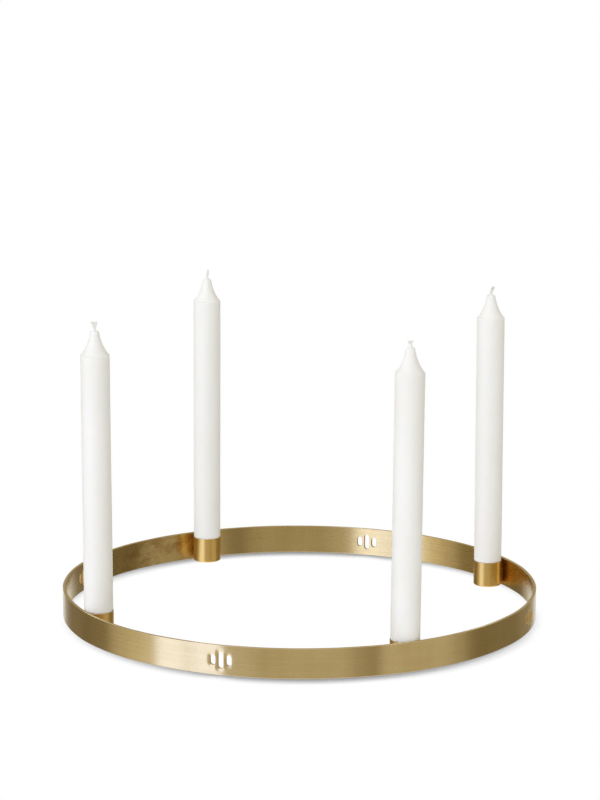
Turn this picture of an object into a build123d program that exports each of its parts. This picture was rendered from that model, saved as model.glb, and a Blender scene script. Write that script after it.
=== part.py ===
from build123d import *
import os
from math import cos, degrees, radians, sin, sqrt

# Advent candle holder: a brass strip rolled into a hoop that stands on edge, four thin cups brazed to its
# inside wall, and a candle with a wick in each cup.
# Millimetres, +Z up, origin at the hoop's centre on the table.

# Hoop
hoop_outer_dia = 370.0
strip_thickness = 2.5
strip_height = 22.5
strip_edge_chamfer = 0.4

# Slots through the strip, in groups of short, long, short, midway between the cups
slot_width = 4.3
slot_pitch = 6.2
long_slot_length = 12.5
short_slot_length = 8.1

# Candle: a straight body on a narrower foot, with a concave head
candle_dia = 22.0
foot_step = 0.4
foot_chamfer = 0.8
shoulder_length = 218.1
head_height = 18.2
head_top_dia = 7.4
head_top_chamfer = 1.6

# Cup: drawn from thin sheet, carried a little above the table
cup_wall = 0.5
cup_floor = 1.0
cup_height = 20.0
cup_raise = 1.1
cup_corner_chamfer = 0.6
cup_clearance = 0.2
lip_clearance = 0.3

# Braze seam: fills the joint between cup and hoop out to a concave face on each side
braze_thickness = 0.14
braze_hoop_clearance = 0.3
braze_cup_clearance = 0.02
braze_fill = 0.22
braze_margin = 1.2

# Wick: runs through the wax and bends over where it stands free
wick_dia = 2.0
wick_clearance = 0.05
wick_free_length = 7.2

# Angles round the hoop, in degrees
candle_names = ("front_left", "back_left", "front_right", "back_right")
candle_angles = (225.0, 135.0, 315.0, 45.0)
slot_group_angles = (0.0, 90.0, 180.0, 270.0)

# How each wick stands: its trim as a share of the free length, its bend, and the direction that it bends to
wick_trim_ratios = (1.05, 1.10, 0.78, 0.95)
wick_bend_angles = (12.0, 20.0, 14.0, 28.0)
wick_direction_angles = (160.0, 18.0, 18.0, 18.0)

# Sizes that follow from the ones above
hoop_outer_radius = hoop_outer_dia / 2
hoop_inner_radius = hoop_outer_radius - strip_thickness
strip_middle_radius = hoop_outer_radius - strip_thickness / 2
slot_step = degrees(slot_pitch / strip_middle_radius)

candle_radius = candle_dia / 2
foot_radius = candle_radius - foot_step
bore_radius = foot_radius + cup_clearance
cup_radius = bore_radius + cup_wall
cup_lip = cup_raise + cup_height
braze_gap = braze_hoop_clearance + braze_thickness + braze_cup_clearance
cup_centre_radius = hoop_inner_radius - braze_gap - cup_radius

seat_height = cup_raise + cup_floor
body_bottom = cup_lip + lip_clearance
shoulder_height = seat_height + shoulder_length
head_top = shoulder_height + head_height
head_top_radius = head_top_dia / 2
head_rim_height = head_top - head_top_chamfer
wick_bore_radius = wick_dia / 2 + wick_clearance


def radial_plane(angle, height):
    """Plane that faces outwards at an angle round the hoop, with its own x along the strip and y upwards."""
    turn = radians(angle)
    outwards = (cos(turn), sin(turn), 0)
    along = (-sin(turn), cos(turn), 0)
    return Plane(origin=(0, 0, height), x_dir=along, z_dir=outwards)


def level_plane(angle, height):
    """Level plane with its own x pointing outwards at an angle round the hoop."""
    turn = radians(angle)
    return Plane(origin=(0, 0, height), x_dir=(cos(turn), sin(turn), 0), z_dir=(0, 0, 1))


def upright_plane(centre, direction):
    """Upright plane through a candle's axis, with its own x towards a direction and y up from the table."""
    turn = radians(direction)
    return Plane(origin=centre, x_dir=(cos(turn), sin(turn), 0), z_dir=(sin(turn), -cos(turn), 0))


def across(point):
    """The same point on the other side of the radius through a cup."""
    return Vector(point.X, -point.Y)


os.makedirs("parts", exist_ok=True)

# Hoop: the strip's section, with its edges broken, turned about the axis, then slotted square to the strip
strip_middle_height = strip_height / 2
long_slot_planes = [radial_plane(angle, strip_middle_height) for angle in slot_group_angles]
short_slot_planes = [
    radial_plane(angle + side * slot_step, strip_middle_height)
    for angle in slot_group_angles
    for side in (-1, 1)
]
with BuildPart() as hoop:
    with BuildSketch(Plane.XZ) as strip_section:
        with Locations((strip_middle_radius, strip_middle_height)):
            Rectangle(strip_thickness, strip_height)
        chamfer(strip_section.vertices(), strip_edge_chamfer)
    revolve(axis=Axis.Z)
    with BuildSketch(*long_slot_planes):
        SlotOverall(long_slot_length, slot_width, rotation=90)
    extrude(amount=hoop_outer_dia, mode=Mode.SUBTRACT)
    with BuildSketch(*short_slot_planes):
        SlotOverall(short_slot_length, slot_width, rotation=90)
    extrude(amount=hoop_outer_dia, mode=Mode.SUBTRACT)
hoop.part.label = "hoop"
export_step(hoop.part, "parts/hoop.step")

# Each open face of a seam is a small circle that touches the seam's hoop side and its cup side.
# Its centre is found from its distances to the hoop's axis and to the cup's axis: how far out along the
# radius, and how far aside.
hoop_side_radius = hoop_inner_radius - braze_hoop_clearance
cup_side_radius = cup_radius + braze_cup_clearance
meniscus = braze_thickness / 2 + braze_fill
hoop_reach = hoop_side_radius - meniscus
cup_reach = cup_side_radius + meniscus
meniscus_out = (hoop_reach**2 - cup_reach**2 + cup_centre_radius**2) / (2 * cup_centre_radius)
meniscus_aside = sqrt(hoop_reach**2 - meniscus_out**2)
seam_on_hoop = Vector(meniscus_out, meniscus_aside) * (hoop_side_radius / hoop_reach)
seam_cup_offset = Vector(meniscus_out - cup_centre_radius, meniscus_aside) * (cup_side_radius / cup_reach)
seam_on_cup = Vector(cup_centre_radius, 0) + seam_cup_offset
seam_neck = Vector(meniscus_out, meniscus_aside - meniscus)
seam_bottom = cup_raise + cup_corner_chamfer + braze_margin
seam_height = cup_lip - braze_margin - seam_bottom

wick_stands = zip(wick_trim_ratios, wick_bend_angles, wick_direction_angles)
for name, angle, (wick_trim, wick_bend, wick_direction) in zip(candle_names, candle_angles, wick_stands):
    turn = radians(angle)
    centre = Vector(cup_centre_radius * cos(turn), cup_centre_radius * sin(turn), 0)
    axis = Axis(centre, (0, 0, 1))

    # Cup: outside turned as one block, its lower corner broken, then bored to the floor
    with BuildPart() as cup:
        with BuildSketch(level_plane(angle, cup_raise)):
            with Locations((cup_centre_radius, 0)):
                Circle(cup_radius)
        extrude(amount=cup_height)
        chamfer(cup.edges().group_by(Axis.Z)[0], cup_corner_chamfer)
        with BuildSketch(level_plane(angle, seat_height)):
            with Locations((cup_centre_radius, 0)):
                Circle(bore_radius)
        extrude(amount=cup_height, mode=Mode.SUBTRACT)
    cup.part.label = f"cup_{name}"
    export_step(cup.part, f"parts/cup_{name}.step")

    # Braze seam: hoop wall, concave face, cup wall and the other concave face, as one closed section
    with BuildPart() as braze:
        with BuildSketch(level_plane(angle, seam_bottom)):
            with BuildLine():
                ThreePointArc(across(seam_on_hoop), (hoop_side_radius, 0), seam_on_hoop)
                ThreePointArc(seam_on_hoop, seam_neck, seam_on_cup)
                ThreePointArc(seam_on_cup, (cup_centre_radius + cup_side_radius, 0), across(seam_on_cup))
                ThreePointArc(across(seam_on_cup), across(seam_neck), across(seam_on_hoop))
            make_face()
        extrude(amount=seam_height)
    braze.part.label = f"braze_{name}"
    export_step(braze.part, f"parts/braze_{name}.step")

    # Candle: half section turned about its own axis, round the channel that the wick fills
    with BuildPart() as candle:
        with BuildSketch(upright_plane(centre, 0)):
            with BuildLine():
                Polyline(
                    (wick_bore_radius, seat_height),
                    (foot_radius - foot_chamfer, seat_height),
                    (foot_radius, seat_height + foot_chamfer),
                    (foot_radius, body_bottom),
                    (candle_radius, body_bottom),
                    (candle_radius, shoulder_height),
                )
                TangentArc(
                    (head_top_radius, head_rim_height), (candle_radius, shoulder_height), tangent=(0, -1)
                )
                Polyline(
                    (head_top_radius, head_rim_height),
                    (head_top_radius - head_top_chamfer, head_top),
                    (wick_bore_radius, head_top),
                    (wick_bore_radius, seat_height),
                )
            make_face()
        revolve(axis=axis)
    candle.part.label = f"candle_{name}"
    export_step(candle.part, f"parts/candle_{name}.step")

    # Wick: straight through the wax, then one bend over its free length
    bend_radius = wick_trim * wick_free_length / radians(wick_bend)
    with BuildPart() as wick:
        with BuildLine(upright_plane(centre, wick_direction)) as wick_path:
            cast_in = Line((0, seat_height), (0, head_top))
            JernArc(cast_in @ 1, cast_in % 1, bend_radius, -wick_bend)
        with BuildSketch(level_plane(0, seat_height)):
            with Locations((centre.X, centre.Y)):
                Circle(wick_dia / 2)
        sweep(path=wick_path.wires()[0])
    wick.part.label = f"wick_{name}"
    export_step(wick.part, f"parts/wick_{name}.step")
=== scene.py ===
import math

import bpy
import numpy as np
from mathutils import Matrix, Vector


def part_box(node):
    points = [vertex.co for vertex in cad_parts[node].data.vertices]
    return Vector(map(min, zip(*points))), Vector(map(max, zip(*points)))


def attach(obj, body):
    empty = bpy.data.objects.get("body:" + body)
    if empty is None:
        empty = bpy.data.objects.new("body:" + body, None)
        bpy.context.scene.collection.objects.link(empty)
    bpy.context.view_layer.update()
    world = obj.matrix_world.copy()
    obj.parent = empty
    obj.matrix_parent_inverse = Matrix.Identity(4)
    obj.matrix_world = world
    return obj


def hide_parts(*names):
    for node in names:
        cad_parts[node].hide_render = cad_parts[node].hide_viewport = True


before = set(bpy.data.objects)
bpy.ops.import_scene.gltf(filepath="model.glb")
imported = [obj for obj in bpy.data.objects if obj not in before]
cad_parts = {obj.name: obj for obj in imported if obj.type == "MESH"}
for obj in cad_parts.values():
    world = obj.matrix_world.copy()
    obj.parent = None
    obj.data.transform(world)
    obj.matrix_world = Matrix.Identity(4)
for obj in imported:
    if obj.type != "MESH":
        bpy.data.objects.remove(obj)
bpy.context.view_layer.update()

# Advent candle holder: a slotted brass hoop on edge, four brass cups brazed inside it, and a candle with a
# cotton wick in each cup. Metres, +Z up, origin at the hoop's centre on the table.

MM = 0.001
UPWARDS = np.array([0.0, 0.0, 1.0])
PLACES = ("front_left", "back_left", "front_right", "back_right")

# Sizes that the frame holds
hoop_low, hoop_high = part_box("hoop")
cup_low, cup_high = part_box("cup_front_left")
candle_low, candle_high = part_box("candle_front_left")
HOOP_RADIUS = (hoop_high.x - hoop_low.x) / 2
STRIP_HEIGHT = hoop_high.z - hoop_low.z
CUP_RADIUS = (cup_high.x - cup_low.x) / 2
CANDLE_RADIUS = (candle_high.x - candle_low.x) / 2
SEAT_HEIGHT = candle_low.z
HEAD_TOP = candle_high.z

# Hoop: rolled strip with softly broken edges and groups of short, long, short slots
STRIP_THICKNESS = 2.5 * MM
STRIP_EDGE = 0.35 * MM
SLOT_GROUP_ANGLES = (0.0, 90.0, 180.0, 270.0)
SLOT_WIDTH = 4.3 * MM
SLOT_PITCH = 6.2 * MM
SLOT_LENGTHS = (8.1 * MM, 12.5 * MM, 8.1 * MM)
SLOT_EDGE = 0.3 * MM
HOOP_INNER = HOOP_RADIUS - STRIP_THICKNESS
STRIP_MIDDLE = HOOP_RADIUS - STRIP_THICKNESS / 2

# Rolling leaves the strip a little out of round: depth, waves round the hoop, and start angle
ROLL_WAVES = ((0.10 * MM, 9, 0.4), (0.07 * MM, 17, 2.1), (0.05 * MM, 26, 4.0), (0.03 * MM, 41, 1.2))

# The strip swells a little at each group of slots, where it is weaker
SLOT_SWELLS = (0.1 * MM, 0.05 * MM, 0.1 * MM, 0.12 * MM)
SLOT_SWELL_WIDTH = 12.0 * MM

# Pressing a slot through draws the outside wall in beside it, mostly on the side that the punch leaned to
DISH_DEPTHS = (0.2 * MM, 0.45 * MM, 0.45 * MM, 0.45 * MM)
DISH_REACH = 4.0 * MM
DISH_LEAN = 0.82

# Cup: thin drawn brass
CUP_WALL = 0.5 * MM
CUP_CORNER = 1.3 * MM
CUP_INNER_CORNER = 0.7 * MM

# Braze seam: fill, reach into both walls, rounding of its ends, and its ripples as depth, half waves up the
# seam, and start angle
BRAZE_FILL = 0.22 * MM
BRAZE_OVERLAP = 0.02 * MM
BRAZE_END_POWER = 16
BRAZE_END_LEAST = 0.2
BRAZE_RIPPLES = ((0.05, 3.0, 0.3), (0.04, 7.0, 1.7))

# Candle: foot in the cup, straight body, concave head with a rounded rim
FOOT_STEP = 0.4 * MM
FOOT_CORNER = 0.8 * MM
LIP_CLEARANCE = 0.3 * MM
BODY_BOTTOM = cup_high.z + LIP_CLEARANCE
BODY_CORNER = 0.35 * MM
HEAD_HEIGHT = 18.2 * MM
HEAD_TOP_RADIUS = 3.5 * MM
HEAD_RIM = 2.1 * MM
HEAD_LEAN = 8.0
SHOULDER_ROUND = 0.3 * MM
SHOULDER_LEDGE = 0.6 * MM
LEDGE_RISE = 0.1 * MM

# How far the rounds of the shoulder and of the rim turn, in degrees
ROUND_SWEEP = 70.0

# Collar of wax at the wick: how far off its foot and neck are, and how high its foot and peak are beside it
COLLAR_FOOT = 0.6 * MM
COLLAR_NECK = 0.15 * MM
COLLAR_FOOT_SHARE = 0.2
COLLAR_PEAK_SHARE = 1.5

# Drawn wax isn't quite round: depth, waves round the candle, half waves up its length, and start angle
WAX_WAVES = ((0.030 * MM, 2, 1.5, 0.3), (0.022 * MM, 3, 4.0, 1.9), (0.015 * MM, 5, 7.0, 4.4))

# Wick: cotton plies, straight through the wax as one core and bent over above it
PLIES = 3
WICK_RADIUS = 1.0 * MM
WICK_FREE_LENGTH = 7.2 * MM
PLY_RADIUS = 0.58 * MM
PLY_ORBIT = 0.5 * MM
PLY_PITCH = 6.0 * MM
CORE_RADIUS = WICK_RADIUS - PLY_RADIUS / 2

# Where the core ends and where the plies start, in wick radii below the head's top
CORE_DEPTH = 2.0
PLY_DEPTH = 2.2

# Plies open from a share of the free length on, and thin over its last share to a share of their radius
OPEN_FROM = 0.5
OPEN_POWER = 1.5
TAPER_LENGTH = 0.35
TAPER_POWER = 0.6
TIP_SHARE = 0.45

# Loose fibres: radius and the share of it that is lost at the tip, where along the free length they start,
# how far they start off the line, stray and overrun, and how their fan opens
FIBRE_RADIUS = 0.12 * MM
FIBRE_TAPER = 0.5
FIBRE_STARTS = (0.1, 0.5)
FIBRE_SEAT = PLY_RADIUS / 2
FIBRE_STRAY = (0.16 * MM, 0.16 * MM, 0.08 * MM)
FIBRE_OVERRUN = 0.35 * MM
FAN_POWER = 1.3
FIBRE_SEED = 12

# How each wick stands: trim as a share of the free length, bend and its direction in degrees, start angle of
# its plies, how far they open at the tip and how far the loose fibres fan out there, how many there are, how
# tan its tip is, and how high the wax climbs round its base
WICKS = {
    "front_left": dict(
        trim=0.87, bend=3.0, direction=160.0, phase=38.0, opening=0.3 * MM, fan=2.3 * MM, fibres=320,
        tan=0.04, collar=0.6 * MM,
    ),
    "back_left": dict(
        trim=1.02, bend=14.0, direction=18.0, phase=0.0, opening=0.0 * MM, fan=0.3 * MM, fibres=16,
        tan=0.03, collar=0.5 * MM,
    ),
    "front_right": dict(
        trim=0.62, bend=2.0, direction=198.0, phase=102.0, opening=0.1 * MM, fan=1.7 * MM, fibres=240,
        tan=0.03, collar=1.1 * MM,
    ),
    "back_right": dict(
        trim=0.90, bend=34.0, direction=18.0, phase=65.0, opening=0.5 * MM, fan=0.35 * MM, fibres=30,
        tan=0.60, collar=0.6 * MM,
    ),
}

# How much longer or shorter than the others each candle is
LENGTHS = {
    "front_left": -2.0 * MM, "back_left": 0.3 * MM, "front_right": 0.1 * MM, "back_right": 0.3 * MM,
}

# How far each candle's head leans to the right of the view, as it stands loose in its cup
LEANS = {
    "front_left": -1.1 * MM, "back_left": 0.6 * MM, "front_right": 1.7 * MM, "back_right": -0.8 * MM,
}

# Camera, fitted to the picture's 600 x 800 frame
VIEW_AZIMUTH = 18.03
VIEW_TURN = -0.0063
VIEW_PITCH = 11.5397
VIEW_ROLL = 0.2046
VIEW_DISTANCE = 2.2401
VIEW_HEIGHT = 0.62583
VIEW_LENS = 132.92
VIEW_SENSOR = 36.0
VIEW_CLIP = 200.0


# Directions

def level(angle):
    """The level direction at an angle in radians round the hoop."""
    return np.array([math.cos(angle), math.sin(angle), 0.0])


def heading(turn):
    """The level direction that lies a turn in degrees to the right of the camera, seen from the object."""
    return level(math.radians(VIEW_AZIMUTH - 90 + turn))


def raised(turn, height):
    """The direction at a turn from the camera and a height above level, both in degrees."""
    climb = math.radians(height)
    return heading(turn) * math.cos(climb) + UPWARDS * math.sin(climb)


def signed(angle):
    """The same angle in radians, between half a turn back and half a turn on."""
    return (angle + np.pi) % (2 * np.pi) - np.pi


RIGHT_OF_VIEW = level(math.radians(VIEW_AZIMUTH))


# Meshes

# Edges that turn by more than this many degrees stay sharp
SHARP_ANGLE = 50.0

# Steps of a rounded edge, and how far off the next row lies, which keeps the flat beside it flat
EDGE_STEPS = 4
SUPPORT = 0.12 * MM


def numbered(points):
    """Vertex numbers of a table of points, row by row."""
    return np.arange(points[..., 0].size).reshape(points.shape[:-1])


def grid_faces(index, close_rows=False, close_columns=False):
    """Quads between neighbouring rows and columns of a table of vertex numbers, closed where asked."""
    if close_rows:
        index = np.vstack([index, index[:1]])
    if close_columns:
        index = np.hstack([index, index[:, :1]])
    corners = (index[:-1, :-1], index[:-1, 1:], index[1:, 1:], index[1:, :-1])
    return np.stack(corners, axis=-1).reshape(-1, 4)


def cap_faces(ring):
    """Quads that close a flat ring of an even number of vertices, by pairing one half with the other."""
    half = len(ring) // 2
    near = ring[:half]
    far = ring[half:][::-1]
    return np.stack([near[:-1], near[1:], far[1:], far[:-1]], axis=-1)


def capped_faces(index):
    """Quads of a table of rings: the wall through all of them, and a cap on the last and on the first."""
    wall = grid_faces(index, close_columns=True)
    return np.vstack([wall, cap_faces(index[-1]), cap_faces(index[0][::-1])])


def arc(centre, radius, start, stop, steps):
    """Points of a circular arc in the plane of radius and height, between two angles in degrees."""
    turn = np.radians(np.linspace(start, stop, steps + 1))
    return np.column_stack([centre[0] + radius * np.cos(turn), centre[1] + radius * np.sin(turn)])


def straight(radii, heights):
    """Points of a profile where its radius or its height stays the same."""
    return np.column_stack(np.broadcast_arrays(radii, heights))


def turned(profile, centre, sides):
    """A profile of radius and height carried round an upright axis: a table of profile points by angle."""
    turn = np.linspace(0, 2 * np.pi, sides, endpoint=False)
    across = profile[:, :1]
    x = centre[0] + across * np.cos(turn)
    y = centre[1] + across * np.sin(turn)
    z = np.broadcast_to(profile[:, 1:], x.shape)
    return np.stack([x, y, z], axis=-1)


def tubes(paths, radii, normals, sides):
    """Round tubes along many paths at once: each ring is the path's point plus the radius times a circle
    in the plane square to the path, from its normal and the cross product of tangent and normal."""
    tangents = np.gradient(paths, axis=1)
    tangents /= np.linalg.norm(tangents, axis=-1, keepdims=True)
    normals = normals - (normals * tangents).sum(-1, keepdims=True) * tangents
    normals /= np.linalg.norm(normals, axis=-1, keepdims=True)
    sideways = np.cross(tangents, normals)
    turn = np.linspace(0, 2 * np.pi, sides, endpoint=False)[:, None]
    ring = np.cos(turn) * normals[:, :, None] + np.sin(turn) * sideways[:, :, None]
    points = paths[:, :, None] + radii[:, :, None, None] * ring
    faces = [capped_faces(index) for index in numbered(points)]
    return points.reshape(-1, 3), np.vstack(faces)


def add_piece(name, points, faces, finish, body, node, marks=None):
    """Makes a mesh of quads from vertex and face arrays, drops unused vertices, and hands it to the frame.
    Marks are values at its vertices that its finish reads. Only the hoop casts a shadow."""
    used, faces = np.unique(faces, return_inverse=True)
    faces = faces.reshape(-1, 4)
    points = points.reshape(-1, 3)[used]
    mesh = bpy.data.meshes.new(name)
    mesh.vertices.add(len(used))
    mesh.vertices.foreach_set("co", points.astype(np.float32).ravel())
    mesh.loops.add(faces.size)
    mesh.loops.foreach_set("vertex_index", faces.astype(np.int32).ravel())
    mesh.polygons.add(len(faces))
    mesh.polygons.foreach_set("loop_start", np.arange(0, faces.size, 4, dtype=np.int32))
    mesh.polygons.foreach_set("use_smooth", np.ones(len(faces), dtype=bool))
    mesh.update(calc_edges=True)
    mesh.validate()
    mesh.set_sharp_from_angle(angle=math.radians(SHARP_ANGLE))
    for label, values in (marks or {}).items():
        attribute = mesh.attributes.new(label, "FLOAT", "POINT")
        attribute.data.foreach_set("value", values[used].astype(np.float32))
    mesh.materials.append(finish)
    piece = bpy.data.objects.new(name, mesh)
    bpy.context.scene.collection.objects.link(piece)
    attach(piece, body)
    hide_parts(node)
    piece.visible_shadow = node == "hoop"
    return piece


# Hoop

# Columns across a slot's cell, beside a group of slots and between groups, and rows up a wall
SLOT_COLUMNS = 12
APRON_COLUMNS = 9
PLAIN_COLUMNS = 88
FACE_ROWS = 24

# Width of the fine columns on each side of a group
APRON = 4.4 * MM

# Rows of a dish, as shares of its width, which takes up at most this share of the room in a slot's cell
DISH_STEPS = (1.0, 0.75, 0.5, 0.25)
DISH_ROOM = 0.85


def hoop_columns():
    """Angles of the hoop's columns: even steps across each slot's own cell, beside each group and between
    groups."""
    spacing = 2 * np.pi / len(SLOT_GROUP_ANGLES)
    slots = len(SLOT_LENGTHS)
    half_group = slots / 2 * SLOT_PITCH / STRIP_MIDDLE
    beside = half_group + APRON / STRIP_MIDDLE
    slotted = np.linspace(-half_group, half_group, slots * SLOT_COLUMNS + 1)[:-1]
    apron = np.linspace(half_group, beside, APRON_COLUMNS + 1)[:-1]
    plain = np.linspace(beside, spacing - beside, PLAIN_COLUMNS + 1)[:-1]
    last_apron = np.linspace(spacing - beside, spacing - half_group, APRON_COLUMNS + 1)[:-1]
    quarter = np.concatenate([slotted, apron, plain, last_apron])
    return (np.radians(SLOT_GROUP_ANGLES)[:, None] + quarter).ravel()


def hoop_section():
    """The strip's section as one closed loop of radius and height: up the outside, over the top rim, down
    the inside and back along the bottom rim, with a quarter round at each corner and a row close to it.
    With it come the heights of a wall's rows and the row where the inside wall starts."""
    low = STRIP_EDGE
    high = STRIP_HEIGHT - STRIP_EDGE
    heights = np.concatenate([[low], np.linspace(low + SUPPORT, high - SUPPORT, FACE_ROWS - 1), [high]])
    outer = HOOP_RADIUS - STRIP_EDGE
    inner = HOOP_INNER + STRIP_EDGE
    rim = np.array([outer, outer - SUPPORT, inner + SUPPORT, inner])

    def corner(radius, height, start):
        """A quarter round from a start angle, without its two ends."""
        return arc((radius, height), STRIP_EDGE, start, start + 90, EDGE_STEPS)[1:-1]

    outside = np.vstack([
        straight(HOOP_RADIUS, heights),
        corner(outer, high, 0),
        straight(rim, STRIP_HEIGHT),
        corner(inner, high, 90),
    ])
    inside = np.vstack([
        straight(HOOP_INNER, heights[::-1]),
        corner(inner, low, 180),
        straight(rim[::-1], 0.0),
        corner(outer, low, 270),
    ])
    return heights, np.vstack([outside, inside]), len(outside)


def out_of_round(points):
    """Moves points along the radius by a few cosine waves round the hoop and a bell curve at each group."""
    angle = np.arctan2(points[:, 1], points[:, 0])
    shift = sum(depth * np.cos(waves * angle + start) for depth, waves, start in ROLL_WAVES)
    for group_angle, swell in zip(np.radians(SLOT_GROUP_ANGLES), SLOT_SWELLS):
        beside = signed(angle - group_angle)
        shift = shift + swell * np.exp(-(beside * STRIP_MIDDLE / SLOT_SWELL_WIDTH) ** 2)
    outwards = points.copy()
    outwards[:, 2] = 0
    return points + outwards / np.linalg.norm(outwards, axis=1, keepdims=True) * shift[:, None]


def slot_places():
    """Each slot's angle round the hoop, its length and how deep the wall is dished beside it."""
    for group_angle, dish_depth in zip(SLOT_GROUP_ANGLES, DISH_DEPTHS):
        for cell, length in enumerate(SLOT_LENGTHS):
            yield math.radians(group_angle) + (cell - 1) * SLOT_PITCH / STRIP_MIDDLE, length, dish_depth


def dished(points):
    """Moves the outside wall inwards beside the slots: by the square of the share left of the dish's reach
    from a slot's outline, and less from one side of the slot to the other."""
    radius = np.hypot(points[:, 0], points[:, 1])
    depth = np.zeros(len(points))
    for angle, length, dish_depth in slot_places():
        ahead = points[:, 0] * math.cos(angle) + points[:, 1] * math.sin(angle)
        aside = points[:, 1] * math.cos(angle) - points[:, 0] * math.sin(angle)
        half = (length - SLOT_WIDTH) / 2
        height = points[:, 2] - STRIP_HEIGHT / 2
        away = np.hypot(aside, height - np.clip(height, -half, half)) - SLOT_WIDTH / 2
        share = np.clip(1 - np.clip(away, 0, None) / DISH_REACH, 0, 1)
        side = np.clip(0.5 + aside / SLOT_WIDTH, 0, 1)
        own_depth = dish_depth * share**2 * (1 - DISH_LEAN * side) * (ahead > 0)
        depth = np.maximum(depth, own_depth)
    depth = depth * (radius > STRIP_MIDDLE)
    return points * np.column_stack([1 - depth / radius, 1 - depth / radius, np.ones_like(radius)])


def cell_border(columns):
    """Columns and rows round a slot's cell: along its bottom, up one side, back along its top and down the
    other side."""
    rows = np.arange(1, FACE_ROWS)
    steps = len(rows) - 1
    border_columns = np.concatenate([
        columns[:-1], np.full(steps, columns[-1]), columns[:0:-1], np.full(steps, columns[0]),
    ])
    border_rows = np.concatenate([
        np.full(SLOT_COLUMNS, rows[0]), rows[:-1], np.full(SLOT_COLUMNS, rows[-1]), rows[:0:-1],
    ])
    return border_columns, border_rows


def slot_loops(border, centre_angle, length):
    """Loops from a slot's cell border on the outside, over the slot's rounded edge, through the strip and
    out to the border on the inside. A point of the slot's outline is the nearest to its border point."""
    half = (length - SLOT_WIDTH) / 2
    half_width = SLOT_WIDTH / 2
    middle = STRIP_HEIGHT / 2
    aside, height = border
    spine = np.clip(height - middle, -half, half) + middle
    away = np.stack([aside, height - spine], axis=-1)
    room = np.linalg.norm(away, axis=-1)
    away /= room[:, None]
    outwards = level(centre_angle)
    along = np.cross(UPWARDS, outwards)

    def loop(reach, depth):
        """The points at a reach from the slot's spine and a depth below the outside wall."""
        x = reach * away[:, 0]
        z = spine + reach * away[:, 1]
        radius = np.sqrt((HOOP_RADIUS - depth) ** 2 - x**2)
        return radius[:, None] * outwards + x[:, None] * along + z[:, None] * UPWARDS

    turns = np.radians(np.linspace(0, 90, EDGE_STEPS + 1))
    shelf = half_width + SLOT_EDGE + SUPPORT
    dish = np.minimum(DISH_REACH, DISH_ROOM * (room - shelf))
    reaches = [shelf + share * dish for share in DISH_STEPS]
    reaches += [shelf] + list(half_width + SLOT_EDGE * (1 - np.sin(turns)))
    depths = [0.0] * (len(DISH_STEPS) + 1) + list(SLOT_EDGE * (1 - np.cos(turns)))
    outside = [loop(reach, depth) for reach, depth in zip(reaches, depths)]
    inside = [loop(reach, STRIP_THICKNESS - depth) for reach, depth in zip(reaches[::-1], depths[::-1])]
    return np.stack(outside + inside)


def make_hoop(finish):
    """The strip's section carried round the hoop, with the two faces opened at each slot's cell and joined
    there by the slot's own loops. Rounded edges are marked as worn, and the walls of slots as cut."""
    angles = hoop_columns()
    heights, section, inside_start = hoop_section()
    radius = section[:, 0]
    strip = np.stack([
        radius * np.cos(angles)[:, None],
        radius * np.sin(angles)[:, None],
        np.broadcast_to(section[:, 1], (len(angles), len(section))),
    ], axis=-1)
    index = numbered(strip)
    section_worn = np.ones(len(section))
    section_worn[1:FACE_ROWS] = 0
    section_worn[inside_start + 1:inside_start + FACE_ROWS] = 0
    points = [strip.reshape(-1, 3)]
    worn = [np.tile(section_worn, len(angles))]
    cut = [np.zeros(index.size)]
    faces = []
    keep = np.ones(index.shape, dtype=bool)
    quarter = len(angles) // len(SLOT_GROUP_ANGLES)
    total = index.size
    for number, (centre_angle, length, _) in enumerate(slot_places()):
        group, cell = divmod(number, len(SLOT_LENGTHS))
        first = group * quarter + cell * SLOT_COLUMNS
        columns = (first + np.arange(SLOT_COLUMNS + 1)) % len(angles)
        keep[columns[:-1], 1:FACE_ROWS - 1] = False
        keep[columns[:-1], inside_start + 1:inside_start + FACE_ROWS - 1] = False
        border_columns, border_rows = cell_border(columns)
        inner_rows = inside_start + FACE_ROWS - border_rows
        swing = signed(angles[border_columns] - centre_angle)
        border = (HOOP_RADIUS * np.sin(swing), heights[border_rows])
        loops = slot_loops(border, centre_angle, length)
        loop_index = numbered(loops)
        table = np.vstack([
            index[border_columns, border_rows], total + loop_index, index[border_columns, inner_rows],
        ])
        faces.append(grid_faces(table, close_columns=True))
        total += loop_index.size
        half = len(loops) // 2
        loops_worn = np.zeros(loop_index.shape)
        loops_worn[half - EDGE_STEPS:half + EDGE_STEPS] = 1
        loops_cut = np.zeros(loop_index.shape)
        loops_cut[half - 1:half + 1] = 1
        points.append(loops.reshape(-1, 3))
        worn.append(loops_worn.ravel())
        cut.append(loops_cut.ravel())

    next_column = np.roll(index, -1, axis=0)
    corners = (index, next_column, np.roll(next_column, -1, axis=1), np.roll(index, -1, axis=1))
    faces.append(np.stack(corners, axis=-1)[keep])
    marks = {"edge": np.concatenate(worn), "cut": np.concatenate(cut)}
    add_piece(
        "hoop_shell", out_of_round(dished(np.vstack(points))), np.vstack(faces), finish, "holder",
        "hoop", marks,
    )


# Cups, seams, candles and wicks

# Sides and rows of each piece, and steps of its rounds
CUP_SIDES = 96
CUP_WALL_ROWS = 12
CUP_BORE_ROWS = 8
LIP_STEPS = 8
BRAZE_ROWS = 28
BRAZE_SIDE_STEPS = 14
BRAZE_FACE_STEPS = 6
CANDLE_SIDES = 96
FOOT_ROWS = 6
BODY_ROWS = 56
HEAD_STEPS = 24
CORE_POINTS = 4
CORE_SIDES = 16
PLY_POINTS = 44
PLY_SIDES = 10
FIBRE_POINTS = 14
FIBRE_SIDES = 6


def place_centre(place):
    """The candle's axis at one place, as the middle of its cup."""
    low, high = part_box(f"cup_{place}")
    return np.array([(low.x + high.x) / 2, (low.y + high.y) / 2])


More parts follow.
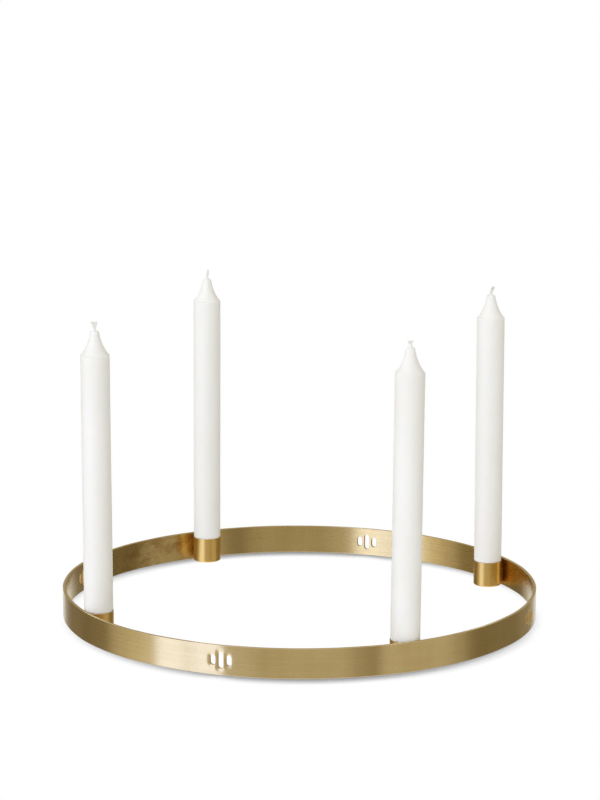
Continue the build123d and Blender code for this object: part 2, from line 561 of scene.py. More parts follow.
def leaned(points, place):
    """Moves points sideways in proportion to their height above the cup's floor."""
    climb = (points[..., 2:] - SEAT_HEIGHT) / (HEAD_TOP - SEAT_HEIGHT)
    return points + LEANS[place] * climb * RIGHT_OF_VIEW


def make_cup(place, finish):
    """A cup's section from the middle of its underside, round its lower corner, up the wall, over the lip
    and down to the middle of its floor, turned about the cup's axis."""
    bottom = cup_low.z
    lip = cup_high.z - CUP_WALL / 2
    bore = CUP_RADIUS - CUP_WALL
    centre_ring = CUP_INNER_CORNER
    floor_corner = (bore - CUP_INNER_CORNER, SEAT_HEIGHT + CUP_INNER_CORNER)
    walls = np.linspace(bottom + CUP_CORNER + SUPPORT, lip - SUPPORT, CUP_WALL_ROWS)
    bore_walls = np.linspace(lip - SUPPORT, floor_corner[1] + SUPPORT, CUP_BORE_ROWS)
    profile = np.vstack([
        [[centre_ring, bottom], [CUP_RADIUS - CUP_CORNER - SUPPORT, bottom]],
        arc((CUP_RADIUS - CUP_CORNER, bottom + CUP_CORNER), CUP_CORNER, -90, 0, 2 * EDGE_STEPS),
        straight(CUP_RADIUS, walls),
        arc((CUP_RADIUS - CUP_WALL / 2, lip), CUP_WALL / 2, 0, 180, LIP_STEPS),
        straight(bore, bore_walls),
        arc(floor_corner, CUP_INNER_CORNER, 0, -90, EDGE_STEPS),
        [[floor_corner[0] - SUPPORT, SEAT_HEIGHT], [centre_ring, SEAT_HEIGHT]],
    ])
    points = turned(profile, place_centre(place), CUP_SIDES)
    lip_rows = (profile[:, 1] > lip - SUPPORT / 2).astype(float)
    add_piece(
        f"cup_shell_{place}", points, capped_faces(numbered(points)), finish, "holder",
        f"cup_{place}", {"edge": np.repeat(lip_rows, CUP_SIDES)},
    )


def make_braze(place, finish):
    """A seam's section is hoop wall, concave face, cup wall and concave face. Each concave face is a circle
    that touches both walls. The section is carried up the joint, and its width ripples by cosine waves."""
    low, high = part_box(f"braze_{place}")
    centre = place_centre(place)
    reach = np.linalg.norm(centre)
    hoop_side = HOOP_INNER + BRAZE_OVERLAP
    cup_side = CUP_RADIUS - BRAZE_OVERLAP
    rise = np.linspace(0, 1, BRAZE_ROWS)
    ripple = 1 + sum(depth * np.cos(waves * np.pi * rise + start) for depth, waves, start in BRAZE_RIPPLES)
    rounded_ends = np.sqrt(np.clip(1 - np.abs(2 * rise - 1) ** BRAZE_END_POWER, BRAZE_END_LEAST, 1))
    meniscus = (hoop_side - reach - cup_side) / 2 + BRAZE_FILL * ripple * rounded_ends
    hoop_reach = hoop_side - meniscus
    cup_reach = cup_side + meniscus
    out = (hoop_reach**2 - cup_reach**2 + reach**2) / (2 * reach)
    aside = np.sqrt(hoop_reach**2 - out**2)
    hoop_end = np.arctan2(aside, out)
    cup_end = np.arctan2(aside, out - reach)
    side = np.linspace(-1, 1, BRAZE_SIDE_STEPS + 1)
    sweep = np.linspace(0, 1, BRAZE_FACE_STEPS + 2)[1:-1]
    hoop_x = hoop_side * np.cos(hoop_end[:, None] * side)
    hoop_y = hoop_side * np.sin(hoop_end[:, None] * side)
    cup_x = reach + cup_side * np.cos(cup_end[:, None] * side[::-1])
    cup_y = cup_side * np.sin(cup_end[:, None] * side[::-1])
    open_turn = hoop_end[:, None] + ((cup_end + np.pi) - hoop_end - 2 * np.pi)[:, None] * sweep
    face_x = out[:, None] + meniscus[:, None] * np.cos(open_turn)
    face_y = aside[:, None] + meniscus[:, None] * np.sin(open_turn)
    half = BRAZE_FACE_STEPS // 2
    x = np.hstack([face_x[:, ::-1][:, half:], hoop_x, face_x, cup_x, face_x[:, ::-1][:, :half]])
    y = np.hstack([-face_y[:, ::-1][:, half:], hoop_y, face_y, cup_y, -face_y[:, ::-1][:, :half]])
    z = np.broadcast_to((low.z + (high.z - low.z) * rise)[:, None], x.shape)
    outwards = level(math.atan2(centre[1], centre[0]))
    along = np.cross(UPWARDS, outwards)
    points = x[..., None] * outwards + y[..., None] * along + z[..., None] * UPWARDS
    add_piece(
        f"braze_seam_{place}", points, capped_faces(numbered(points)), finish, "holder",
        f"braze_{place}",
    )


def make_candle(place, finish):
    """A candle's section as one closed loop: foot, body, concave head, rim, collar of wax at the wick and
    the wick's channel, turned about its axis and moved along the radius by shallow waves. The head is a
    circle from a narrow ledge inside the shoulder to the rim, where it leans inwards, and the rim is a
    circle that touches it there."""
    foot = CANDLE_RADIUS - FOOT_STEP
    collar = WICKS[place]["collar"]
    top = HEAD_TOP + LENGTHS[place]
    shoulder = top - HEAD_HEIGHT
    lean = math.radians(HEAD_LEAN)
    inwards = np.array([math.cos(lean), math.sin(lean)])
    rim = np.array([HEAD_TOP_RADIUS, top - HEAD_RIM * (1 - inwards[1])])
    ledge = np.array([CANDLE_RADIUS - SHOULDER_LEDGE, shoulder + LEDGE_RISE])
    chord = ledge - rim
    head_radius = chord @ chord / (2 * chord @ inwards)
    head_centre = rim + head_radius * inwards
    head_turn = math.degrees(math.asin((head_centre - ledge)[1] / head_radius))
    shoulder_centre = (CANDLE_RADIUS - SHOULDER_ROUND, shoulder - SHOULDER_ROUND)
    body = np.linspace(BODY_BOTTOM + BODY_CORNER + SUPPORT, shoulder_centre[1], BODY_ROWS)
    feet = np.linspace(SEAT_HEIGHT + FOOT_CORNER + SUPPORT, BODY_BOTTOM - SUPPORT, FOOT_ROWS)
    profile = np.vstack([
        [[CORE_RADIUS, SEAT_HEIGHT], [foot - FOOT_CORNER - SUPPORT, SEAT_HEIGHT]],
        arc((foot - FOOT_CORNER, SEAT_HEIGHT + FOOT_CORNER), FOOT_CORNER, -90, 0, EDGE_STEPS),
        straight(foot, feet),
        [[foot, BODY_BOTTOM]],
        arc((CANDLE_RADIUS - BODY_CORNER, BODY_BOTTOM + BODY_CORNER), BODY_CORNER, -90, 0, EDGE_STEPS),
        straight(CANDLE_RADIUS, body),
        arc(shoulder_centre, SHOULDER_ROUND, 0, ROUND_SWEEP, EDGE_STEPS)[1:],
        arc(head_centre, head_radius, 180 + head_turn, 180 + HEAD_LEAN, HEAD_STEPS),
        arc(rim - HEAD_RIM * inwards, HEAD_RIM, HEAD_LEAN, ROUND_SWEEP, 2 * EDGE_STEPS)[1:],
        [[WICK_RADIUS + COLLAR_FOOT, top + COLLAR_FOOT_SHARE * collar]],
        [[WICK_RADIUS + COLLAR_NECK, top + collar]],
        [[CORE_RADIUS, top + COLLAR_PEAK_SHARE * collar], [CORE_RADIUS, top - WICK_RADIUS]],
    ])
    centre = place_centre(place)
    points = turned(profile, (0.0, 0.0), CANDLE_SIDES)
    angle = np.arctan2(points[..., 1], points[..., 0])
    climb = points[..., 2] / HEAD_TOP * np.pi
    own = math.atan2(centre[1], centre[0])
    shift = sum(
        depth * np.cos(round_waves * angle + up_waves * climb + start + own)
        for depth, round_waves, up_waves, start in WAX_WAVES
    )
    shift = shift * (points[..., 2] > BODY_BOTTOM)
    factor = 1 + shift / np.maximum(np.hypot(points[..., 0], points[..., 1]), HEAD_TOP_RADIUS)
    points[..., 0] = points[..., 0] * factor + centre[0]
    points[..., 1] = points[..., 1] * factor + centre[1]
    faces = grid_faces(numbered(points), close_rows=True, close_columns=True)
    add_piece(
        f"wax_{place}", leaned(points, place), faces, finish, f"candle_{place}", f"candle_{place}"
    )


def wick_line(base, stand, along):
    """Points and cross directions of a wick: straight up to the head's top, where the length along it is 0,
    then a circular arc in the upright plane of its bend."""
    free = stand["trim"] * WICK_FREE_LENGTH
    radius = free / math.radians(stand["bend"])
    turn = np.clip(along, 0, None) / radius
    ahead = level(math.radians(stand["direction"]))
    lean = radius * (1 - np.cos(turn))
    rise = radius * np.sin(turn) + np.clip(along, None, 0)
    points = base + lean[..., None] * ahead + rise[..., None] * UPWARDS
    normal = np.cos(turn)[..., None] * ahead - np.sin(turn)[..., None] * UPWARDS
    sideways = np.broadcast_to(np.cross(UPWARDS, ahead), normal.shape)
    return points, normal, sideways


def ply_paths(base, stand, ply, along):
    """A ply winds about the wick's line as a helix, and near the tip stops winding and opens outwards."""
    free = stand["trim"] * WICK_FREE_LENGTH
    start = OPEN_FROM * free
    opened = np.clip((along - start) / (free - start), 0, None)
    wind = 2 * np.pi * (np.minimum(along, start) / PLY_PITCH + ply / PLIES) + math.radians(stand["phase"])
    orbit = PLY_ORBIT + stand["opening"] * opened**OPEN_POWER
    points, normal, sideways = wick_line(base, stand, along)
    offset = np.cos(wind)[..., None] * normal + np.sin(wind)[..., None] * sideways
    return points + orbit[..., None] * offset, normal


def make_wick(place, finish, random):
    """A plain core inside the wax, plies wound together above it, and loose fibres at the tip. A fibre
    follows the wick's line, fans out across the view by a power of its height, and strays by the square of
    its length. The yarn doesn't darken the wax round it."""
    base = np.append(place_centre(place), HEAD_TOP + LENGTHS[place])
    stand = WICKS[place]
    free = stand["trim"] * WICK_FREE_LENGTH
    core = np.linspace(SEAT_HEIGHT - base[2], -CORE_DEPTH * WICK_RADIUS, CORE_POINTS)[None]
    core_path, core_normal, _ = wick_line(base, stand, core)
    parts = [tubes(core_path, np.full(core.shape, CORE_RADIUS), core_normal, CORE_SIDES)]

    along = np.linspace(-PLY_DEPTH * WICK_RADIUS, free, PLY_POINTS)
    along = np.broadcast_to(along, (PLIES, PLY_POINTS))
    paths, normals = ply_paths(base, stand, np.arange(PLIES)[:, None], along)
    taper = np.clip((free - along) / (TAPER_LENGTH * free), 0, 1)
    radii = PLY_RADIUS * (TIP_SHARE + (1 - TIP_SHARE) * taper**TAPER_POWER)
    parts.append(tubes(paths, radii, normals, PLY_SIDES))

    count = stand["fibres"]
    starts = random.uniform(*FIBRE_STARTS, (count, 1)) * free
    ends = free + random.uniform(-1.0, 1.0, (count, 1)) * FIBRE_OVERRUN
    share = np.linspace(0, 1, FIBRE_POINTS)
    fibre_along = starts + (ends - starts) * share
    fibre_paths, fibre_normals, _ = wick_line(base, stand, fibre_along)
    opened = np.clip(fibre_along / free, 0, None)[..., None]
    across = random.uniform(-1, 1, (count, 1, 1)) * RIGHT_OF_VIEW
    seat = random.normal(size=(count, 1, 3)) * FIBRE_SEAT
    stray = random.normal(size=(count, 1, 3)) * np.array(FIBRE_STRAY)
    fan = across * stand["fan"] * opened**FAN_POWER
    fibre_paths = fibre_paths + seat + fan + stray * (share[:, None] ** 2)
    fibre_radii = FIBRE_RADIUS * (1 - FIBRE_TAPER * share) * np.ones((count, 1))
    parts.append(tubes(fibre_paths, fibre_radii, fibre_normals, FIBRE_SIDES))

    sizes = np.cumsum([0] + [len(points) for points, _ in parts])
    points = np.vstack([points for points, _ in parts])
    faces = np.vstack([faces + first for (_, faces), first in zip(parts, sizes)])
    tan = stand["tan"] * np.clip((points[:, 2] - base[2]) / free, 0, 1)
    cotton = add_piece(
        f"cotton_{place}", leaned(points, place), faces, finish, f"candle_{place}",
        f"wick_{place}", {"tan": tan},
    )
    cotton.visible_diffuse = False


# Finishes

# Satin brass: clean and tarnished colour, roughness, stretch of the gloss, and scale of the brushed streaks
HOOP_BRASS = dict(
    bright=(0.84, 0.62, 0.27), tarnished=(0.60, 0.42, 0.15), roughness=0.245, anisotropy=0.85,
    streak_scale=(9.0, 9.0, 1300.0),
)
CUP_BRASS = dict(
    bright=(0.85, 0.55, 0.156), tarnished=(0.65, 0.40, 0.095), roughness=0.34, anisotropy=0.5,
    streak_scale=(40.0, 40.0, 1800.0),
)

# Brass keeps its own warm tint where light grazes it
GRAZING_TINT = (0.96, 0.93, 0.87)

# Streaks: how the broad ones stretch beside the fine ones, and the strength of both
BROAD_STRETCH = 0.25
FINE_STREAKS = 0.8
BROAD_STREAKS = 0.9

# Tarnish: its even part, what streaks, clouds and the hoop's soft upright bands add, and where it runs from
# clean to full
DULL_EVEN = 0.3
DULL_STREAKS = 0.28
DULL_CLOUDS = 0.5
DULL_BANDS = 0.8
DULL_RANGE = (-0.2, 1.0)
CLOUD_SCALE = (30.0, 30.0, 70.0)
BAND_SCALE = (48.0, 48.0, 6.0)

# How much paler worn edges are
WORN_PALE = 0.15

# Pits: cells to the metre, size in a cell, which cells hold one, how dark they are, and colour
PIT_SCALE = 240.0
PIT_SIZE = (0.06, 0.13)
PIT_CELLS = (0.80, 0.82)
PIT_DARK = 0.4
PIT_BROWN = (0.14, 0.09, 0.04)

# The hoop's inside wall beside its outside: browner as painted shade, and paler over one stretch as a
# painted highlight where the key panel shows in it
WALL_FADE = 0.5 * MM
INSIDE_PAINTED_SHADE = (0.75, 0.725, 0.635)
INSIDE_PAINTED_HIGHLIGHT = (1.0, 0.97, 0.87)
PAINTED_HIGHLIGHT_TURN = 140.0
PAINTED_HIGHLIGHT_REACH = (0.80, 0.97)

# Painted reflection: a browner patch on the hoop's inside wall, standing in for the dark amber reflection
# seen there
DARK_REFLECTION_ANGLE = 147.0
DARK_REFLECTION_REACH = (0.965, 0.995)
DARK_REFLECTION_SCALE = (70.0, 70.0, 95.0)
DARK_REFLECTION_RAGGED = (0.40, 0.62)
DARK_REFLECTION_STRENGTH = 0.75
DARK_REFLECTION_BROWN = (0.375, 0.21, 0.062)

# Walls of the slots, left rough by the punch and less metallic, painted amber as the glint of light bounced
# between them
SLOT_WALL_GLINT_AMBER = (0.60, 0.36, 0.08)
CUT_METAL = 0.3

# Filler metal of the seams, browned by the torch and darkened as painted shade of the gap between cup and
# hoop
FILLER_SCALE = (420.0, 420.0, 300.0)
FILLER_YELLOW = (0.46, 0.33, 0.14)
FILLER_BROWN_AND_SHADE = (0.30, 0.20, 0.08)

# Wax: cloudy tone, and lines from drawing
WAX_CLOUD_SCALE = (55.0, 55.0, 22.0)
WAX_CLOUDS = (0.3, 0.75)
WAX_LINE_SCALE = (900.0, 900.0, 9.0)
WAX_WHITE = (0.93, 0.927, 0.912)
WAX_CREAM = (0.905, 0.90, 0.878)

# Cotton
FIBRE_SCALE = (2600.0, 2600.0, 500.0)
COTTON_WHITE = (0.90, 0.895, 0.875)
COTTON_GREY = (0.81, 0.80, 0.765)
COTTON_TAN = (0.50, 0.45, 0.32)

# Leaves a vector its level part
LEVEL_PART = (1.0, 1.0, 0.0)

BLACK = (0.0, 0.0, 0.0)
WHITE = (1.0, 1.0, 1.0)


class Channel:
    """One output of a node. Arithmetic on channels adds Math nodes to their tree."""

    def __init__(self, tree, socket):
        self.tree = tree
        self.socket = socket

    @classmethod
    def of(cls, tree, kind, settings=None, inputs=None, output=0):
        """Adds a node of any type: its settings first, then the value or link of each named input. A colour
        is given as red, green and blue, and is opaque."""
        node = tree.nodes.new(kind)
        for name, value in (settings or {}).items():
            setattr(node, name, value)
        for key, value in (inputs or {}).items():
            socket = node.inputs[key]
            if isinstance(value, Channel):
                tree.links.new(value.socket, socket)
            elif socket.type == "RGBA":
                socket.default_value = (*value, 1.0)
            else:
                socket.default_value = value
        return cls(tree, node.outputs[output])

    def math(self, operation, first, second=0.0):
        return Channel.of(self.tree, "ShaderNodeMath", {"operation": operation}, {0: first, 1: second})

    def __add__(self, other):
        return self.math("ADD", self, other)

    __radd__ = __add__

    def __sub__(self, other):
        return self.math("SUBTRACT", self, other)

    def __rsub__(self, other):
        return self.math("SUBTRACT", other, self)

    def __mul__(self, other):
        return self.math("MULTIPLY", self, other)

    __rmul__ = __mul__

    def __truediv__(self, other):
        return self.math("DIVIDE", self, other)

    def __pow__(self, other):
        return self.math("POWER", self, other)

    def between(self, low, high):
        """0 below one bound, 1 above the other, and smooth between them."""
        return Channel.of(
            self.tree, "ShaderNodeMapRange", {"interpolation_type": "SMOOTHSTEP"},
            {"Value": self, "From Min": low, "From Max": high},
        )

    def mix(self, first, second):
        """A colour this share of the way from one colour to another."""
        return Channel.of(
            self.tree, "ShaderNodeMix", {"data_type": "RGBA"}, {0: self, 6: first, 7: second}, output=2
        )

    def vector(self, operation, other=None, output=0):
        """Vector maths on this vector, and on another one where the operation takes two."""
        inputs = {0: self} if other is None else {0: self, 1: other}
        return Channel.of(self.tree, "ShaderNodeVectorMath", {"operation": operation}, inputs, output)

    def along(self, direction):
        """How far this vector reaches along a direction."""
        return self.vector("DOT_PRODUCT", tuple(direction), "Value")


def new_finish(name):
    """An empty material tree, and the piece's own Object coordinates."""
    finish = bpy.data.materials.new(name)
    finish.use_nodes = True
    tree = finish.node_tree
    tree.nodes.clear()
    place = Channel.of(tree, "ShaderNodeTexCoord", output="Object")
    return finish, tree, place


def close_finish(surface):
    """Links a shader to its tree's output."""
    output = surface.tree.nodes.new("ShaderNodeOutputMaterial")
    surface.tree.links.new(surface.socket, output.inputs["Surface"])


def close_principled(tree, sockets):
    """Ends a finish in one Principled shader."""
    close_finish(Channel.of(tree, "ShaderNodeBsdfPrincipled", None, sockets))


def stretched_noise(place, scale, detail=3.0, roughness=0.5):
    """Noise whose three scales differ, such as streaks that run round a turned or brushed face."""
    return Channel.of(
        place.tree, "ShaderNodeTexNoise", None,
        {"Vector": place.vector("MULTIPLY", scale), "Scale": 1.0, "Detail": detail, "Roughness": roughness},
    )


def mark(tree, name):
    """One of the marks on the piece's vertices, and 0 on a piece without it."""
    return Channel.of(tree, "ShaderNodeAttribute", {"attribute_name": name}, output="Fac")


def bumped(height, strength, distance):
    """The surface's normal, tilted by the slope of a height."""
    return Channel.of(
        height.tree, "ShaderNodeBump", None, {"Strength": strength, "Distance": distance, "Height": height}
    )


def inside_wall(place, base):
    """The hoop's colour with its inside wall browned as painted shade, save for a paler stretch that is a
    painted highlight, and with a painted dark reflection on it. A point is on that wall where its distance
    from the hoop's axis is less than the strip's middle radius."""
    radius = place.vector("MULTIPLY", LEVEL_PART).vector("LENGTH", output="Value")
    inner = 1 - radius.between(STRIP_MIDDLE - WALL_FADE, STRIP_MIDDLE + WALL_FADE)
    # Painted highlight: a stretch of the inside wall is paler where the key panel shows in it
    lit_stretch = (place.along(heading(PAINTED_HIGHLIGHT_TURN)) / HOOP_INNER).between(*PAINTED_HIGHLIGHT_REACH)
    tint = lit_stretch.mix(INSIDE_PAINTED_SHADE, INSIDE_PAINTED_HIGHLIGHT)
    # Painted shade: the inside wall takes this darker, browner tint over the outside's colour
    base = inner.mix(base, base.vector("MULTIPLY", tint))
    # Painted reflection: a ragged dark amber patch on the inside wall
    towards = place.along(level(math.radians(DARK_REFLECTION_ANGLE)))
    near = (towards / HOOP_INNER).between(*DARK_REFLECTION_REACH) * inner
    ragged = stretched_noise(place, DARK_REFLECTION_SCALE, 5.0, 0.65)
    dark_reflection = ragged.between(*DARK_REFLECTION_RAGGED) * near
    return (dark_reflection * DARK_REFLECTION_STRENGTH).mix(base, DARK_REFLECTION_BROWN)


def brushed_brass(name, bright, tarnished, roughness, anisotropy, streak_scale, is_hoop=False):
    """Satin brass: streaks round the piece, soft cloudy tarnish, paler worn edges and a few dark pits. The
    hoop also has duller bands, an inside wall with painted shade, a painted highlight and a painted dark
    reflection, and bare slot walls with a painted amber glint."""
    finish, tree, place = new_finish(name)
    fine = stretched_noise(place, streak_scale, 4.0, 0.6)
    broad = stretched_noise(place, tuple(scale * BROAD_STRETCH for scale in streak_scale), 2.0)
    cloud = stretched_noise(place, CLOUD_SCALE, 5.0, 0.62)
    streak = (fine - 0.5) * FINE_STREAKS + (broad - 0.5) * BROAD_STREAKS
    dull = DULL_EVEN + streak * DULL_STREAKS + (cloud - 0.5) * DULL_CLOUDS
    if is_hoop:
        band = stretched_noise(place, BAND_SCALE, 2.0)
        dull = dull + (band - 0.5) * DULL_BANDS
    base = dull.between(*DULL_RANGE).mix(bright, tarnished)
    if is_hoop:
        base = inside_wall(place, base)
    worn = mark(tree, "edge")
    base = (worn * WORN_PALE).mix(base, tuple(0.5 + 0.5 * share for share in bright))
    cut = mark(tree, "cut")
    # Painted glint: the slot walls turn amber for the light bounced inside the slots
    base = cut.mix(base, SLOT_WALL_GLINT_AMBER)
    cells = {"Vector": place, "Scale": PIT_SCALE}
    off_middle = Channel.of(tree, "ShaderNodeTexVoronoi", None, cells)
    kind = Channel.of(tree, "ShaderNodeTexVoronoi", None, cells, output="Color")
    pit = (1 - off_middle.between(*PIT_SIZE)) * kind.between(*PIT_CELLS)
    base = (pit * PIT_DARK).mix(base, PIT_BROWN)
    rough = roughness + streak * 0.04 + cloud * 0.06 - worn * 0.06
    height = streak * 0.32 + cloud * 0.1 - pit * 0.6
    close_principled(tree, {
        "Base Color": base, "Metallic": 1 - cut * (1 - CUT_METAL), "Roughness": rough,
        "Normal": bumped(height, 0.12, 0.3 * MM), "Anisotropic": anisotropy, "Anisotropic Rotation": 0.25,
        "Specular Tint": GRAZING_TINT,
    })
    return finish


def braze_metal(name):
    """Yellow filler metal, browned by the torch and darkened as painted shade of the gap it fills, with a
    slightly lumpy skin.
    """
    finish, tree, place = new_finish(name)
    lump = stretched_noise(place, FILLER_SCALE)
    # Painted shade: both filler colours are darker for the shaded gap between cup and hoop
    close_principled(tree, {
        "Base Color": lump.mix(FILLER_YELLOW, FILLER_BROWN_AND_SHADE), "Metallic": 1.0,
        "Roughness": 0.34 + lump * 0.12, "Normal": bumped(lump, 0.4, 0.4 * MM),
    })
    return finish


def candle_wax(name):
    """White wax: light goes a little way in, with faint drawing lines and cloudy tone."""
    finish, tree, place = new_finish(name)
    cloud = stretched_noise(place, WAX_CLOUD_SCALE, 4.0)
    line = stretched_noise(place, WAX_LINE_SCALE, 2.0)
    height = line * 0.25 + cloud * 0.6
    close_principled(tree, {
        "Base Color": cloud.between(*WAX_CLOUDS).mix(WAX_WHITE, WAX_CREAM),
        "Roughness": 0.46 + cloud * 0.12, "Normal": bumped(height, 0.10, 0.6 * MM), "IOR": 1.44,
        "Subsurface Weight": 0.35, "Subsurface Radius": (1.0, 0.85, 0.65), "Subsurface Scale": 3.0 * MM,
    })
    return finish


def wick_cotton(name):
    """Undyed cotton yarn with fine fibres, and tan towards its tip where it is marked so."""
    finish, tree, place = new_finish(name)
    fibre = stretched_noise(place, FIBRE_SCALE, 4.0)
    base = fibre.mix(COTTON_WHITE, COTTON_GREY)
    close_principled(tree, {
        "Base Color": mark(tree, "tan").mix(base, COTTON_TAN), "Roughness": 0.82,
        "Normal": bumped(fibre, 0.5, 0.2 * MM), "IOR": 1.40, "Sheen Weight": 0.5,
    })
    return finish


# Light, floor and camera

# Far soft panels round the set, as they show in the brass: direction in degrees from the camera, half
# width, width of the soft edge, and colour
FAR_PANELS = {
    "key_glow": (-74.0, 8.0, 10.0, (0.144, 0.16, 0.208)),
    "front": (-5.0, 29.0, 9.0, (0.280, 0.303, 0.365)),
    "right": (61.5, 20.0, 8.0, (0.312, 0.335, 0.40)),
    "right_back": (146.0, 8.0, 16.0, (0.075, 0.075, 0.070)),
}

# Near panels, which the front wall and the back wall see at different angles: the direction and distance of
# both ends from the hoop's centre, how far each end fades, and colour
NEAR_PANELS = {
    "key": (((-31.0, 0.779), (-71.0, 3.0)), (0.06, 0.86), (0.94, 1.22, 2.48)),
    "key_skirt": (((-63.5, 0.894), (-95.4, 0.804)), (0.08, 0.086), (0.325, 0.341, 0.38)),
}
PANEL_HALF_HEIGHT = 3.0

# The panel behind the object, its colour above the horizon, and the rises of a ray that it changes between
BACK_PANEL = (180.0, 4.0, 27.0, (0.88, 1.01, 1.22))
BACK_ABOVE = (0.24, 0.235, 0.18)
BACK_FADE = (-0.05, 0.15)

# The rest of the room as metal reflects it, with the rises and falls of a ray that ceiling and floor come
# in between
ROOM_IN_METAL = (0.226, 0.205, 0.163)
CEILING_IN_METAL = (0.30, 0.29, 0.26)
CEILING_FADE = (0.25, 0.9)
FLOOR_IN_METAL = (0.60, 0.59, 0.56)
FLOOR_FADE = (0.5, 0.9)

# Soft light on wax and floor: an even dome and a broad glow from the key's side
DOME = (0.655, 0.63, 0.55)
GLOW_TURN = -33.0
GLOW_HEIGHT = 14.0
GLOW = (1.53, 1.61, 1.85)
GLOW_POWER = 4.0

# Floor: how far off its contact shadow starts, the direction of the sky that counts, and how it deepens
FLOOR_SIZE = 80.0
FLOOR_DROP = 0.05 * MM
FLOOR_WHITE = (0.88, 0.88, 0.88)
SHADOW_REACH = 24.5 * MM
SHADOW_TURN = -173.0
SHADOW_HEIGHT = 32.0
SHADOW_SAMPLES = 16
SHADOW_DEPTH = 0.23
SHADOW_FULL = 0.27
SHADOW_NONE = 0.67


def ray_is(tree, kind):
    """1 for one kind of ray, and 0 for the others."""
    return Channel.of(tree, "ShaderNodeLightPath", output=f"Is {kind} Ray")


def make_world():
    """A white room for the camera, a soft dome for matt surfaces, and tall panels that metal reflects."""
    world = bpy.data.worlds.new("soft_studio")
    world.use_nodes = True
    world.cycles.sampling_method = "NONE"
    tree = world.node_tree
    tree.nodes.clear()
    ray = Channel.of(tree, "ShaderNodeTexCoord", output="Generated")
    rise = Channel.of(tree, "ShaderNodeSeparateXYZ", None, {0: ray}, output="Z")
    flat = ray.vector("MULTIPLY", LEVEL_PART).vector("NORMALIZE")

    def plus(light, tint, share):
        """A light with a share of a tint added."""
        inputs = {0: tint, "Scale": share}
        tinted = Channel.of(tree, "ShaderNodeVectorMath", {"operation": "SCALE"}, inputs)
        return tinted.vector("ADD", light)

    def panel(turn, half_width, soft_edge):
        """1 within a half width of a direction, fading to 0 over the soft edge."""
        outside = math.cos(math.radians(half_width + soft_edge))
        inside = math.cos(math.radians(half_width))
        return flat.along(heading(turn)).between(outside, inside)

    in_metal = ROOM_IN_METAL
    for *shape, tint in FAR_PANELS.values():
        in_metal = plus(in_metal, tint, panel(*shape))
    *shape, tint = BACK_PANEL
    back = panel(*shape)
    above = rise.between(*BACK_FADE)
    in_metal = plus(in_metal, tint, back * (1 - above))
    in_metal = plus(in_metal, BACK_ABOVE, back * above)
    in_metal = plus(in_metal, CEILING_IN_METAL, rise.between(*CEILING_FADE))
    in_metal = plus(in_metal, FLOOR_IN_METAL, (0 - rise).between(*FLOOR_FADE))

    facing = ray.along(raised(GLOW_TURN, GLOW_HEIGHT))
    facing = facing.math("MAXIMUM", facing, 0.0)
    on_matt = plus(DOME, GLOW, facing**GLOW_POWER)

    seen = ray_is(tree, "Glossy").mix(on_matt, in_metal)
    seen = ray_is(tree, "Camera").mix(seen, WHITE)
    backdrop = Channel.of(tree, "ShaderNodeBackground", None, {"Color": seen})
    output = tree.nodes.new("ShaderNodeOutputWorld")
    tree.links.new(backdrop.socket, output.inputs["Surface"])
    bpy.context.scene.world = world


def new_quad(name, corners, finish):
    """One flat quad of the studio round the object."""
    mesh = bpy.data.meshes.new(name)
    mesh.from_pydata(corners, [], [(0, 1, 2, 3)])
    mesh.materials.append(finish)
    quad = bpy.data.objects.new(name, mesh)
    bpy.context.scene.collection.objects.link(quad)
    return quad


def make_near_panel(name, ends, soft_ends, tint):
    """A tall upright panel that only metal sees, and sees through: it adds its light, which fades to
    nothing at both ends."""
    near, far = (heading(turn) * distance for turn, distance in ends)
    length = np.linalg.norm(far - near)
    onward = (far - near) / length
    finish, tree, place = new_finish(f"panel_{name}")
    along = place.along(onward) - float(near @ onward)
    full = along.between(0.0, soft_ends[0]) * (1 - along.between(length - soft_ends[1], length))
    shining = Channel.of(tree, "ShaderNodeEmission", None, {"Color": full.mix(BLACK, tint)})
    clear = Channel.of(tree, "ShaderNodeBsdfTransparent")
    close_finish(Channel.of(tree, "ShaderNodeAddShader", None, {0: clear, 1: shining}))
    finish.cycles.emission_sampling = "NONE"
    up = UPWARDS * PANEL_HALF_HEIGHT
    panel = new_quad(f"panel_{name}", [near - up, far - up, far + up, near + up], finish)
    panel.visible_camera = False
    panel.visible_diffuse = False
    panel.visible_transmission = False
    panel.visible_shadow = False


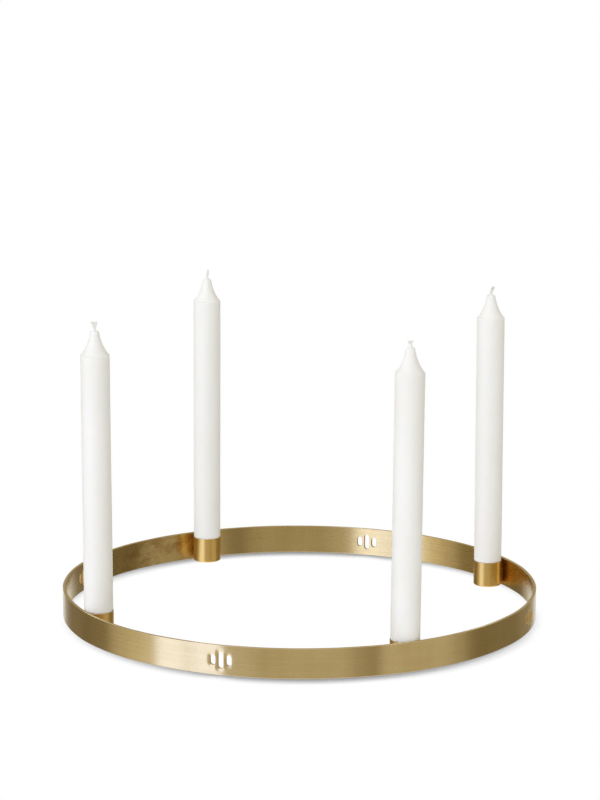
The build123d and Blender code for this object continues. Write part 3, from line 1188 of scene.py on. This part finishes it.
def make_floor():
    """A white table top. The camera sees it white with the contact shadow, where nearby pieces hide the
    open sky, and metal sees the studio's panels carried down to it."""
    finish, tree, _ = new_finish("white_table")
    open_side = Channel.of(
        tree, "ShaderNodeVectorMath", {"operation": "NORMALIZE"}, {0: raised(SHADOW_TURN, SHADOW_HEIGHT)}
    )
    open_sky = Channel.of(
        tree, "ShaderNodeAmbientOcclusion", {"samples": SHADOW_SAMPLES},
        {"Distance": SHADOW_REACH, "Normal": open_side}, output="AO",
    )
    shade = SHADOW_DEPTH + (1 - SHADOW_DEPTH) * open_sky.between(SHADOW_FULL, SHADOW_NONE)
    shown = Channel.of(tree, "ShaderNodeEmission", None, {"Color": shade.mix(BLACK, WHITE)})
    matt = Channel.of(tree, "ShaderNodeBsdfDiffuse", None, {"Color": FLOOR_WHITE})
    clear = Channel.of(tree, "ShaderNodeBsdfTransparent")
    lit = Channel.of(tree, "ShaderNodeMixShader", None, {0: ray_is(tree, "Glossy"), 1: matt, 2: clear})
    camera_ray = ray_is(tree, "Camera")
    close_finish(Channel.of(tree, "ShaderNodeMixShader", None, {0: camera_ray, 1: lit, 2: shown}))
    half = FLOOR_SIZE / 2
    sides = ((-half, -half), (half, -half), (half, half), (-half, half))
    floor = new_quad("floor", [(x, y, -FLOOR_DROP) for x, y in sides], finish)


def make_camera():
    """The picture's view: its place, and its aim as right, up and back directions with the roll applied."""
    data = bpy.data.cameras.new("view")
    data.sensor_width = VIEW_SENSOR
    data.lens = VIEW_LENS
    data.clip_end = VIEW_CLIP
    aim = level(math.radians(90 + VIEW_AZIMUTH - VIEW_TURN))
    pitch = math.radians(VIEW_PITCH)
    roll = math.radians(VIEW_ROLL)
    ahead = Vector(aim * math.cos(pitch) - UPWARDS * math.sin(pitch))
    right = Vector(np.cross(aim, UPWARDS))
    upwards = right.cross(ahead)
    across = right * math.cos(roll) + upwards * math.sin(roll)
    above = upwards * math.cos(roll) - right * math.sin(roll)
    place = Vector(heading(0.0) * VIEW_DISTANCE + UPWARDS * VIEW_HEIGHT)
    turn = Matrix((across, above, -ahead)).transposed()
    camera = bpy.data.objects.new("view", data)
    camera.matrix_world = Matrix.Translation(place) @ turn.to_4x4()
    bpy.context.scene.collection.objects.link(camera)
    bpy.context.scene.camera = camera


hoop_finish = brushed_brass("hoop_satin_brass", **HOOP_BRASS, is_hoop=True)
cup_finish = brushed_brass("cup_satin_brass", **CUP_BRASS)
braze_finish = braze_metal("braze_filler")
wax_finish = candle_wax("white_wax")
cotton_finish = wick_cotton("wick_cotton")

make_hoop(hoop_finish)
fibre_random = np.random.default_rng(FIBRE_SEED)
for candle_place in PLACES:
    make_cup(candle_place, cup_finish)
    make_braze(candle_place, braze_finish)
    make_candle(candle_place, wax_finish)
    make_wick(candle_place, cotton_finish, fibre_random)

make_world()
for panel_name, panel_shape in NEAR_PANELS.items():
    make_near_panel(panel_name, *panel_shape)
make_floor()
make_camera()
bpy.context.scene.view_settings.view_transform = "Standard"
